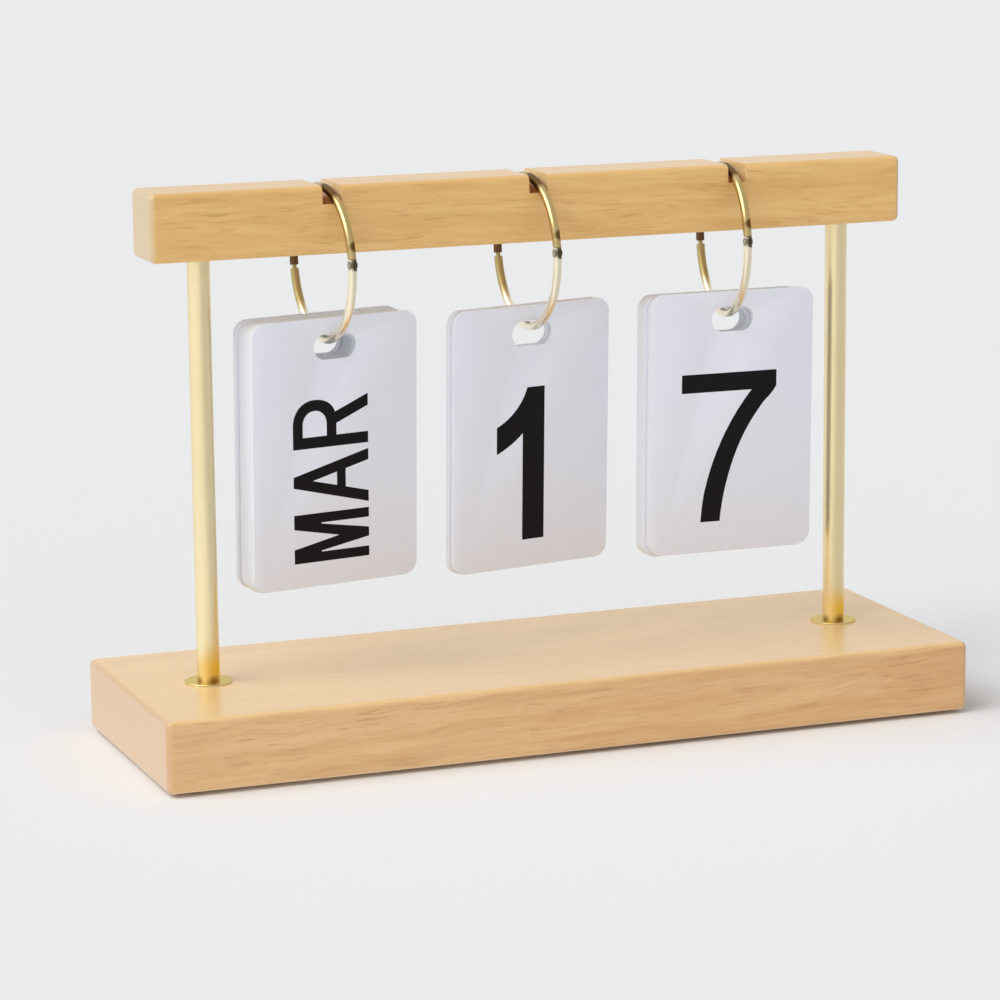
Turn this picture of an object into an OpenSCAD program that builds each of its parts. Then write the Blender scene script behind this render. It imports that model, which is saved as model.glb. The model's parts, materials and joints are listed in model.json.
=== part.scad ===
// Perpetual desk calendar: a wooden base and a wooden bar joined by two brass
// rods, with three packs of cards that hang from hinged brass rings.
// Millimetres. +X is to the right, -Y is the front, +Z is up. The origin is the
// middle of the footprint, on the surface that the foot pads stand on.

/* [Base board] */
// Thickness of the base board
base_thickness = 20.3; // [16:0.1:30]
// Depth of the base board, front to back
base_depth = 80.7; // [60:0.1:120]
// Length of base board beyond each rod's axis
base_end = 23.8; // [14:0.1:40]
// Radius on the edges of the base board
base_edge_r = 1.8; // [0.5:0.1:4]

/* [Foot pads] */
// Diameter of each felt pad
pad_d = 10; // [6:0.5:12]
// Thickness of each felt pad
pad_thickness = 1; // [0.5:0.1:3]
// Distance from the board's edges to the middle of each pad
pad_inset = 11; // [8:0.5:18]
// Radius on the lower rim of each pad
pad_rim_r = 0.3; // [0.1:0.1:0.4]

/* [Top bar] */
// Height of the top bar
bar_height = 19.05; // [14:0.05:30]
// Depth of the top bar, front to back
bar_depth = 19.05; // [12:0.05:26]
// Length of top bar beyond each rod's axis
bar_end = 15.9; // [8:0.1:30]
// Radius on the edges of the top bar
bar_edge_r = 1.8; // [0.5:0.1:4]
// Width of each saw kerf that holds a ring
kerf_width = 5.5; // [4.5:0.1:8]
// Depth of each saw kerf
kerf_depth = 5.1; // [3.5:0.1:8]

/* [Rods] */
// Diameter of each rod
rod_d = 6.35; // [5:0.05:10]
// Chamfer on the ends of each rod
rod_chamfer = 0.4; // [0.2:0.1:0.8]
// Depth of the rod's socket in the base board
base_socket_depth = 8; // [5:0.5:10]
// Depth of the rod's blind socket in the top bar
bar_socket_depth = 10; // [5:0.5:12]
// Clear width between the outer cards and each rod
rod_side_gap = 7.2; // [4:0.1:20]

/* [Rod flanges] */
// Diameter of the flange at the foot of each rod
flange_d = 13.3; // [10:0.1:20]
// Thickness of the flange
flange_thickness = 0.5; // [0.5:0.1:3]
// Radius on the upper rim of the flange
flange_rim_r = 0.2; // [0.1:0.05:0.25]

/* [Base screws] */
// Diameter of the screw's thread
screw_d = 3; // [2.5:0.5:3.5]
// Diameter of the screw's head
screw_head_d = 5.6; // [5:0.1:7]
// Height of the screw's head
screw_head_height = 2.4; // [1.5:0.1:3]
// Length of thread inside the rod
screw_engagement = 9; // [5:0.5:14]
// Depth of the counterbore that hides the head
counterbore_depth = 4; // [3:0.5:6]
// Width of each arm of the cross slot in the head
cross_slot_width = 0.9; // [0.6:0.1:1.2]
// Depth of the cross slot in the head
cross_slot_depth = 1.2; // [0.6:0.1:1.4]

/* [Rings] */
// Radius from a ring's centre to the middle of its wire
ring_r = 21.25; // [18:0.25:24]
// Diameter of the ring's wire
wire_d = 2.4; // [2:0.1:3]
// Where the hinge is, in degrees up the front from the lowest point
hinge_at = 95; // [80:1:110]
// Length of the flat tongue that each half has at the hinge
tongue_length = 3.4; // [3:0.1:4]
// Diameter of the hinge rivet
rivet_d = 1; // [0.8:0.1:1.2]
// Diameter of the rivet's heads
rivet_head_d = 1.8; // [1.6:0.1:2]
// Thickness of each rivet head
rivet_head_thickness = 0.35; // [0.2:0.05:0.6]
// Where the upper half ends, in degrees up the back from the lowest point
closure_at = 82; // [60:1:88]
// Distance between the two halves at the snap closure
closure_gap = 1; // [0.8:0.1:3]
// Diameter of the snap closure's nib
nib_d = 1.3; // [1:0.1:1.6]
// Length of nib inside the upper half
nib_engagement = 2.3; // [1.5:0.1:3]

/* [Cards] */
// Width of every card
card_width = 50.8; // [40:0.1:60]
// Height of every card
card_height = 76.2; // [60:0.1:90]
// Thickness of every card
card_thickness = 0.7; // [0.3:0.05:0.8]
// Radius on the corners of every card
card_corner_r = 4; // [1:0.5:8]
// Width of the hanging hole, with round ends
hole_width = 13; // [10:0.5:20]
// Height of the hanging hole
hole_height = 7.2; // [6.5:0.1:9]
// Distance from a card's top edge to its hole
hole_drop = 4.5; // [3:0.1:8]
// Distance between neighbouring cards in a pack
card_pitch = 1; // [0.95:0.05:1.2]
// Clear width between neighbouring packs
pack_gap = 9.9; // [8:0.1:20]
// Clear height between the cards and the base board
space_under_cards = 24.3; // [15:0.1:60]

/* [How the packs hang] */
// Turn of the month, tens and ones rings, anticlockwise from above
ring_turns = [4.2, 2.1, -5.4];
// Turn of the month, tens and ones cards, anticlockwise from above
card_turns = [7.6, 9, -0.4];
// Backward lean of the month, tens and ones cards
card_leans = [2.8, 2.6, 1.2];
// Sideways tilt of the month, tens and ones cards, positive with the lower edge to the left
card_tilts = [-0.6, -0.5, 0.1];
// How far the month, tens and ones cards have slid to the right on their rings
card_slides = [0.9, 0.7, 0.4];
// How many cards at the front of each pack are flush with its front card
flush_cards = [10, 2, 3];
// How far the cards behind those have slipped to the left
back_slips = [0.9, 0.8, 1];
// How far the middle of each pack lies behind its ring's lowest point
pack_shifts = [0, 0, -2.2];

/* [Fits] */
// Clearance all round a rod in its sockets and in its flange
rod_clearance = 0.05; // [0.01:0.01:0.1]
// Clearance all round the screw's thread in the rod
thread_clearance = 0.05; // [0.01:0.01:0.1]
// Clearance all round the screw in the base board
screw_clearance = 0.2; // [0.1:0.05:0.4]
// Clearance all round the screw's head in its counterbore
screw_head_clearance = 1.2; // [0.5:0.1:1.5]
// Depth of the rod's threaded hole beyond the screw's tip
thread_runout = 1.5; // [0.5:0.5:3]
// Clearance all round the rivet in its tongues
rivet_clearance = 0.05; // [0.01:0.01:0.1]
// Clearance between the two tongues, and under each flush rivet head
tongue_side_clearance = 0.05; // [0.03:0.01:0.1]
// Clearance between a tongue and the other half's wire, and round each rivet head
tongue_end_clearance = 0.15; // [0.1:0.05:0.3]
// Clearance all round the nib in its slot
nib_clearance = 0.1; // [0.05:0.05:0.15]
// Clearance between a ring and the kerf's floor that carries it
seat_gap = 0.25; // [0.1:0.05:0.5]
// Clearance between a hole's upper edge and the wire that carries it
hang_gap = 0.3; // [0.2:0.05:0.5]

/* [Hidden] */
$fn = 64;
over = 1; // how far a cutter passes beyond the surface that it cuts

// Cards from the front of each pack to its back
MONTH_ORDER = ["mar", "apr", "may", "jun", "jul", "aug", "sep", "oct", "nov", "dec", "jan", "feb"];
TENS_ORDER = ["1", "2", "3", "0"];
ONES_ORDER = ["7", "8", "9", "0", "1", "2", "3", "4", "5", "6"];
PACKS = ["month", "tens", "ones"];
ORDERS = [MONTH_ORDER, TENS_ORDER, ONES_ORDER];

wood_light = "#e6c49a";
wood_warm = "#dcb27a";
brass = "#d8b45c";
felt = "#3c3a38";
steel = "#9a9a9c";
card_grey = "#d8d8de";

// Places along X
pack_step = card_width + pack_gap;
rod_x = pack_step + card_width / 2 + rod_side_gap + rod_d / 2;
base_length = 2 * (rod_x + base_end);
bar_length = 2 * (rod_x + bar_end);
pack_x = [-pack_step, 0, pack_step];

// Heights
base_top = pad_thickness + base_thickness;
wire_r = wire_d / 2;
ring_inner_r = ring_r - wire_r;
ring_seat_rise = sqrt(pow(ring_inner_r, 2) - pow(bar_depth / 2, 2));
ring_below_bar = ring_seat_rise - seat_gap - (bar_height - kerf_depth);
bar_bottom = base_top + space_under_cards + card_height - hole_drop - hang_gap
    + ring_inner_r + ring_below_bar;
ring_z = bar_bottom - ring_below_bar;
kerf_floor = bar_bottom + bar_height - kerf_depth;
rod_bottom = base_top - base_socket_depth;
rod_top = bar_bottom + bar_socket_depth;
screw_seat = pad_thickness + counterbore_depth;
screw_tip = rod_bottom + screw_engagement;

// Angles on a ring, in degrees from its lowest point, positive up the back
hinge_t = -hinge_at;
upper_end_t = closure_at;
lower_end_t = closure_at - closure_gap / ring_r * 180 / PI;
// Each half's wire passes the hinge by a tongue's length before the tongue's end is rounded
tongue_reach_t = tongue_length / ring_r * 180 / PI;
rivet_head_seat = wire_r - rivet_head_thickness - tongue_side_clearance;
head_recess_d = rivet_head_d + 2 * tongue_end_clearance;
// The nib points along its own path as the lower half swings about the hinge
hinge_point = on_ring(ring_r, hinge_t);
nib_point = on_ring(ring_r, upper_end_t);
nib_tilt = atan2(nib_point[2] - hinge_point[2], nib_point[1] - hinge_point[1]);

// Point at radius r and angle t of a ring that is centred on the origin
function on_ring(r, t) = [0, r * sin(t), -r * cos(t)];

// Rectangle with one corner on the origin and round corners
module round_rectangle(width, height, r) {
    translate([r, 0]) square([width - 2 * r, height]);
    translate([0, r]) square([width, height - 2 * r]);
    for (x = [r, width - r]) for (y = [r, height - r]) translate([x, y]) circle(r = r);
}

// Slot with round ends, centred across X, with its upper edge at y = 0
module round_slot(width, height) {
    r = height / 2;
    translate([r - width / 2, -height]) square([width - height, height]);
    for (x = [r - width / 2, width / 2 - r]) translate([x, -r]) circle(r = r);
}

// Board with all its edges rounded, centred on X and Y, standing on z = 0
module round_board(length, depth, height, r) {
    intersection() {
        translate([-length / 2, -depth / 2, 0])
            linear_extrude(height) round_rectangle(length, depth, r);
        translate([-length / 2, depth / 2, 0])
            rotate([90, 0, 0]) linear_extrude(depth) round_rectangle(length, height, r);
        translate([-length / 2, -depth / 2, 0])
            rotate([90, 0, 90]) linear_extrude(length) round_rectangle(depth, height, r);
    }
}

// Children at both rods' axes
module at_rods() {
    for (side = [-1, 1]) translate([side * rod_x, 0, 0]) children();
}

// ---- the stand ----

module base_board() {
    color(wood_light)
        difference() {
            translate([0, 0, pad_thickness])
                round_board(base_length, base_depth, base_thickness, base_edge_r);
            at_rods() {
                translate([0, 0, rod_bottom])
                    cylinder(d = rod_d + 2 * rod_clearance, h = base_socket_depth + over);
                cylinder(d = screw_d + 2 * screw_clearance, h = rod_bottom + over);
                translate([0, 0, pad_thickness - over])
                    cylinder(d = screw_head_d + 2 * screw_head_clearance, h = counterbore_depth + over);
            }
        }
}

// Felt disc with its lower rim rounded
module foot_pad(side_x, side_y) {
    color(felt)
        translate([side_x * (base_length / 2 - pad_inset), side_y * (base_depth / 2 - pad_inset), 0])
            rotate_extrude() {
                square([pad_d / 2 - pad_rim_r, pad_thickness]);
                translate([0, pad_rim_r]) square([pad_d / 2, pad_thickness - pad_rim_r]);
                translate([pad_d / 2 - pad_rim_r, pad_rim_r]) circle(r = pad_rim_r);
            }
}

// Rod with chamfered ends and a threaded hole for the screw in its foot
module rod(side) {
    color(brass)
        translate([side * rod_x, 0, 0])
            difference() {
                rotate_extrude()
                    polygon([
                        [0, rod_bottom],
                        [rod_d / 2 - rod_chamfer, rod_bottom],
                        [rod_d / 2, rod_bottom + rod_chamfer],
                        [rod_d / 2, rod_top - rod_chamfer],
                        [rod_d / 2 - rod_chamfer, rod_top],
                        [0, rod_top]
                    ]);
                translate([0, 0, rod_bottom - over])
                    cylinder(d = screw_d + 2 * thread_clearance, h = screw_engagement + thread_runout + over);
            }
}

// Flat washer with a rounded upper rim that covers the rod's socket
module rod_flange(side) {
    color(brass)
        translate([side * rod_x, 0, base_top])
            difference() {
                rotate_extrude() {
                    square([flange_d / 2 - flange_rim_r, flange_thickness]);
                    square([flange_d / 2, flange_thickness - flange_rim_r]);
                    translate([flange_d / 2 - flange_rim_r, flange_thickness - flange_rim_r])
                        circle(r = flange_rim_r);
                }
                translate([0, 0, -over])
                    cylinder(d = rod_d + 2 * rod_clearance, h = flange_thickness + 2 * over);
            }
}

// Pan-head screw that pulls the rod down from below, with a cross slot
module base_screw(side) {
    color(steel)
        translate([side * rod_x, 0, screw_seat])
            difference() {
                union() {
                    cylinder(d = screw_d, h = screw_tip - screw_seat);
                    translate([0, 0, -screw_head_height]) cylinder(d = screw_head_d, h = screw_head_height);
                }
                for (turn = [0, 90]) rotate([0, 0, turn])
                    translate([-screw_d / 2, -cross_slot_width / 2, -screw_head_height - over])
                        cube([screw_d, cross_slot_width, cross_slot_depth + over]);
            }
}

// Bar with a blind socket for each rod and a kerf for each ring
module top_bar() {
    color(wood_warm)
        difference() {
            translate([0, 0, bar_bottom]) round_board(bar_length, bar_depth, bar_height, bar_edge_r);
            at_rods()
                translate([0, 0, bar_bottom - over])
                    cylinder(d = rod_d + 2 * rod_clearance, h = bar_socket_depth + over);
            for (x = pack_x)
                translate([x - kerf_width / 2, -bar_depth / 2 - over, kerf_floor])
                    cube([kerf_width, bar_depth + 2 * over, kerf_depth + over]);
        }
}

// ---- the rings ----

// Children moved from the origin to pack p's ring
module at_ring(p) {
    translate([pack_x[p], 0, ring_z]) rotate([0, 0, ring_turns[p]]) children();
}

// Stretch of a ring's wire between two angles
module ring_wire(from, to) {
    rotate([0, 90, 0])
        rotate([0, 0, from])
            rotate_extrude(angle = to - from)
                translate([ring_r, 0]) circle(d = wire_d);
}

// Cylinder along X on the hinge's axis, from x = from to x = to
module on_hinge(d, from, to) {
    translate(hinge_point + [from, 0, 0]) rotate([0, 90, 0]) cylinder(d = d, h = to - from);
}

// What is cut from a wire that passes the hinge, to leave a flat tongue with a round end.
// Beyond the hinge is up for end = 1 and down for end = -1, and the tongue is on side -end.
module tongue_cut(end) {
    reach = tongue_length + wire_d;
    difference() {
        translate(hinge_point) rotate([hinge_t + 90, 0, 0])
            translate([-wire_d, -wire_d, end > 0 ? 0 : -reach])
                cube([2 * wire_d, 2 * wire_d, reach]);
        on_hinge(tongue_length, -wire_d - over, wire_d + over);
    }
    on_hinge(tongue_length + 2 * tongue_end_clearance,
        end > 0 ? -tongue_side_clearance : -wire_d, end > 0 ? wire_d : tongue_side_clearance);
}

// Cylinder along the nib's path, from one distance past the upper half's end to another
module on_nib_path(d, from, to) {
    translate(nib_point) rotate([nib_tilt, 0, 0]) translate([0, 0, from]) cylinder(d = d, h = to - from);
}

// Upper half: it lies in the kerf, with a tongue at the front and a slotted end at the back
module ring_upper(p) {
    slot_width = nib_d + 2 * nib_clearance;
    slot_depth = nib_engagement + nib_clearance;
    color(brass)
        at_ring(p)
            difference() {
                ring_wire(upper_end_t, 360 + hinge_t + tongue_reach_t);
                tongue_cut(-1);
                on_hinge(rivet_d + 2 * rivet_clearance, -wire_d, wire_d);
                on_hinge(head_recess_d, rivet_head_seat, wire_d);
                on_nib_path(slot_width, -over, slot_depth);
                // The slot is open away from the ring's middle
                translate(nib_point) rotate([nib_tilt, 0, 0])
                    translate([-slot_width / 2, 0, -over])
                        cube([slot_width, wire_d, slot_depth + over]);
            }
}

// Lower half: it carries the cards, with a tongue at the front and the nib at the back
module ring_lower(p) {
    color(brass)
        at_ring(p)
            difference() {
                union() {
                    ring_wire(hinge_t - tongue_reach_t, lower_end_t);
                    on_nib_path(nib_d, -closure_gap - over, nib_engagement);
                }
                tongue_cut(1);
                on_hinge(rivet_d + 2 * rivet_clearance, -wire_d, wire_d);
                on_hinge(head_recess_d, -wire_d, -rivet_head_seat);
            }
}

// Rivet through both tongues, with a flat head on each side, flush in its recess
module ring_rivet(p) {
    head_from = wire_r - rivet_head_thickness;
    color(brass)
        at_ring(p) {
            on_hinge(rivet_d, -wire_r, wire_r);
            on_hinge(rivet_head_d, -wire_r, -head_from);
            on_hinge(rivet_head_d, head_from, wire_r);
        }
}

// ---- the cards ----

// Card whose hole has the middle of its upper edge on the origin
module card() {
    rotate([90, 0, 0])
        linear_extrude(height = card_thickness, center = true)
            difference() {
                translate([-card_width / 2, hole_drop - card_height])
                    round_rectangle(card_width, card_height, card_corner_r);
                round_slot(hole_width, hole_height);
            }
}

// Card i of pack p, counted from the front, hung on its ring
module hung_card(p, i) {
    along = (i - (len(ORDERS[p]) - 1) / 2) * card_pitch + pack_shifts[p];
    hook = hang_gap - sqrt(pow(ring_inner_r, 2) - pow(along, 2));
    slide = card_slides[p] - (i < flush_cards[p] ? 0 : back_slips[p]);
    color(card_grey)
        at_ring(p)
            translate([0, along, hook])
                rotate([0, 0, card_turns[p] - ring_turns[p]])
                    rotate([card_leans[p], card_tilts[p], 0])
                        translate([slide, 0, 0]) card();
}

// ---- the nodes ----

base_board();
foot_pad(-1, -1);  // foot_pad_front_left
foot_pad(1, -1);  // foot_pad_front_right
foot_pad(-1, 1);  // foot_pad_back_left
foot_pad(1, 1);  // foot_pad_back_right
rod(-1);  // rod_left
rod(1);  // rod_right
rod_flange(-1);  // rod_flange_left
rod_flange(1);  // rod_flange_right
base_screw(-1);  // base_screw_left
base_screw(1);  // base_screw_right
top_bar();
for (p = [0 : len(PACKS) - 1]) {
    ring_upper(p);
    ring_lower(p);
    ring_rivet(p);
    for (i = [0 : len(ORDERS[p]) - 1])
        hung_card(p, i);
}
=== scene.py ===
"""Looks of a perpetual desk calendar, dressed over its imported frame.

The wooden boards, the cards and their printing are modelled here. The brass and the small
fixings are the frame's own solids with finishes from here. Sizes are in millimetres until a
piece is done, because Blender's Boolean and curve tools work best on sizes near one.
"""
import json
import logging
import math
from contextlib import contextmanager
from dataclasses import dataclass, field, replace
from enum import Enum
from typing import Any, Iterable, Iterator, Sequence

import bpy
from mathutils import Matrix, Vector


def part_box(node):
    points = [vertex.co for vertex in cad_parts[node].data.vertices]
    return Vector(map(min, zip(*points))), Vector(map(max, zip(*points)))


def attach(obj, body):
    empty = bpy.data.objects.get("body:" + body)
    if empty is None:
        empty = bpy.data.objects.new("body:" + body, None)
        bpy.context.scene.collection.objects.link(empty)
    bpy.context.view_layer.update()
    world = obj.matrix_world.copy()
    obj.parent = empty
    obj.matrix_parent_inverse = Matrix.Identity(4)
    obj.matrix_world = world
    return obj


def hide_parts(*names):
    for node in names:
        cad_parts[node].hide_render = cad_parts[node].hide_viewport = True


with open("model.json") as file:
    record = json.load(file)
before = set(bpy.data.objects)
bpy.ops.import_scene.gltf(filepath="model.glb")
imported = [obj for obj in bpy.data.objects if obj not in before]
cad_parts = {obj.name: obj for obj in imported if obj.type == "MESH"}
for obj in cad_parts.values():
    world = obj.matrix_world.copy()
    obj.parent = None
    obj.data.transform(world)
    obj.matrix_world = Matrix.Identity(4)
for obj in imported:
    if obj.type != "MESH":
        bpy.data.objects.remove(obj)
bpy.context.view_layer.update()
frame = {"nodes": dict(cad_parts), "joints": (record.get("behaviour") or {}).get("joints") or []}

LOG = logging.getLogger("calendar")
MM = 0.001
# Points of a board or card that lie closer than this are one point
WELD_MM = 0.0005

Triple = tuple[float, float, float]
Colour = Triple
Point = tuple[float, float]
# A painted spot's middle in metres, its reach in millimetres and its colour of painted shade or
# painted reflection
PaintedSpot = tuple[Vector, float, Colour]


def srgb(red: int, green: int, blue: int) -> Colour:
    """Turns a colour written in 8-bit sRGB into the linear values that Blender works in.

    Args:
        red: Red, 0 to 255.
        green: Green, 0 to 255.
        blue: Blue, 0 to 255.

    Returns:
        The linear colour.
    """
    def one(value: int) -> float:
        """Linear value of one channel."""
        v = value / 255
        return v / 12.92 if v <= 0.04045 else ((v + 0.055) / 1.055) ** 2.4
    return one(red), one(green), one(blue)


# ---- shader maths ----

# Sockets of a Mix node that mixes colours
MIX_FACTOR, MIX_FIRST, MIX_SECOND, MIX_RESULT = 0, 6, 7, 2


class Signal:
    """A socket that carries a number, a vector or a colour, for use in Python expressions."""

    def __init__(self, tree: "ShaderTree", socket: bpy.types.NodeSocket) -> None:
        """Wraps a socket of the tree."""
        self.tree = tree
        self.socket = socket

    def _maths(self, operation: str, first: Any, second: Any) -> "Signal":
        """Adds a Math node, or a Vector Math node where either side is a vector.

        Args:
            operation: What the node works out.
            first: Signal, number or triple.
            second: Signal, number or triple.

        Returns:
            The node's result.
        """
        if any(isinstance(v, Signal) and v.socket.type == "VECTOR" for v in (first, second)):
            sides = [v if isinstance(v, (Signal, tuple)) else (v, v, v) for v in (first, second)]
            return self.tree.add("ShaderNodeVectorMath", {"operation": operation}, sides, "Vector")
        return self.tree.add("ShaderNodeMath", {"operation": operation}, [first, second], "Value")

    def __add__(self, other: Any) -> "Signal":
        """self + other"""
        return self._maths("ADD", self, other)

    __radd__ = __add__

    def __sub__(self, other: Any) -> "Signal":
        """self - other"""
        return self._maths("SUBTRACT", self, other)

    def __rsub__(self, other: Any) -> "Signal":
        """other - self"""
        return self._maths("SUBTRACT", other, self)

    def __mul__(self, other: Any) -> "Signal":
        """self * other"""
        return self._maths("MULTIPLY", self, other)

    __rmul__ = __mul__

    def __pow__(self, other: Any) -> "Signal":
        """self ** other"""
        return self._maths("POWER", self, other)

    def __rpow__(self, other: Any) -> "Signal":
        """other ** self"""
        return self._maths("POWER", other, self)

    def above_zero(self) -> "Signal":
        """The signal where it is positive, and 0 elsewhere."""
        return self._maths("MAXIMUM", self, 0.0)

    def ramp(self, low: float, high: float) -> "Signal":
        """Smooth step from 0 where the signal is low to 1 where it is high."""
        return self.tree.add("ShaderNodeMapRange", {"interpolation_type": "SMOOTHSTEP"},
                             {"Value": self, "From Min": low, "From Max": high}, "Result")

    def dot(self, direction: Triple) -> "Signal":
        """How far the vector reaches along a direction."""
        return self.tree.add("ShaderNodeVectorMath", {"operation": "DOT_PRODUCT"},
                             [self, direction], "Value")

    def other(self, output: str) -> "Signal":
        """Another output of the node that the signal comes from."""
        return Signal(self.tree, self.socket.node.outputs[output])


class ShaderTree:
    """Node tree of a material or of the world, cleared and ready to be filled."""

    def __init__(self, owner: bpy.types.ID) -> None:
        """Switches the owner's nodes on and empties its tree.

        Args:
            owner: The material or world.
        """
        owner.use_nodes = True
        self.nodes = owner.node_tree.nodes
        self.links = owner.node_tree.links
        self.nodes.clear()

    def add(self, kind: str, settings: dict[str, Any],
            values: dict[str | int, Any] | Sequence[Any], output: str | int) -> Signal:
        """Adds one node.

        Args:
            kind: The node's type.
            settings: What is set before the sockets, such as an operation.
            values: Values or signals, by socket name or in socket order.
            output: The output that is wanted.

        Returns:
            That output.
        """
        node = self.nodes.new(kind)
        for name, value in settings.items():
            setattr(node, name, value)
        for key, value in values.items() if isinstance(values, dict) else enumerate(values):
            socket = node.inputs[key]
            if isinstance(value, Signal):
                self.links.new(value.socket, socket)
            else:
                socket.default_value = (*value, 1) if socket.type == "RGBA" else value
        return Signal(self, node.outputs[output])

    def mix(self, factor: Any, first: Any, second: Any) -> Signal:
        """Mixes two colours, from the first at a factor of 0 to the second at 1."""
        return self.add("ShaderNodeMix", {"data_type": "RGBA"},
                        {MIX_FACTOR: factor, MIX_FIRST: first, MIX_SECOND: second}, MIX_RESULT)

    def place(self, turn: Triple = (0, 0, 0)) -> Signal:
        """Object coordinates in millimetres, turned about X, Y and Z by these degrees."""
        where = self.add("ShaderNodeTexCoord", {}, {}, "Object")
        return self.add("ShaderNodeMapping", {"vector_type": "POINT"},
                        {"Vector": where, "Rotation": tuple(math.radians(a) for a in turn),
                         "Scale": (1 / MM, 1 / MM, 1 / MM)}, "Vector")

    def mark(self, name: str) -> Signal:
        """A face attribute of the piece."""
        return self.add("ShaderNodeAttribute", {"attribute_name": name}, {}, "Fac")

    def noise(self, where: Signal, detail: float = 2, roughness: float = 0.5,
              distortion: float = 0, scale: float = 1) -> Signal:
        """Noise from 0 to 1. Detail counts its octaves, and scale its features in a unit."""
        return self.add("ShaderNodeTexNoise", {},
                        {"Vector": where, "Scale": scale, "Detail": detail,
                         "Roughness": roughness, "Distortion": distortion}, "Fac")

    def bump(self, height: Signal, depth_mm: float) -> Signal:
        """Normal of a surface where a height of 1 stands for so many millimetres."""
        return self.add("ShaderNodeBump", {},
                        {"Height": height, "Distance": depth_mm * MM}, "Normal")

    def principled(self, values: dict[str | int, Any]) -> None:
        """Ends the tree with a Principled surface that has these values or signals."""
        self.end(self.add("ShaderNodeBsdfPrincipled", {}, values, "BSDF"))

    def end(self, surface: Signal, kind: str = "ShaderNodeOutputMaterial") -> None:
        """Joins a surface to an output node."""
        self.links.new(surface.socket, self.nodes.new(kind).inputs["Surface"])


# ---- finishes ----


@dataclass(frozen=True)
class Finish:
    """A procedural finish. Each kind fills the material's tree in its own way."""

    name: str

    def material(self) -> bpy.types.Material:
        """Builds the finish.

        Returns:
            The material.
        """
        made = bpy.data.materials.new(self.name)
        self.fill(ShaderTree(made))
        return made

    def fill(self, tree: ShaderTree) -> None:
        """Fills the material's empty tree."""
        raise NotImplementedError


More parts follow.
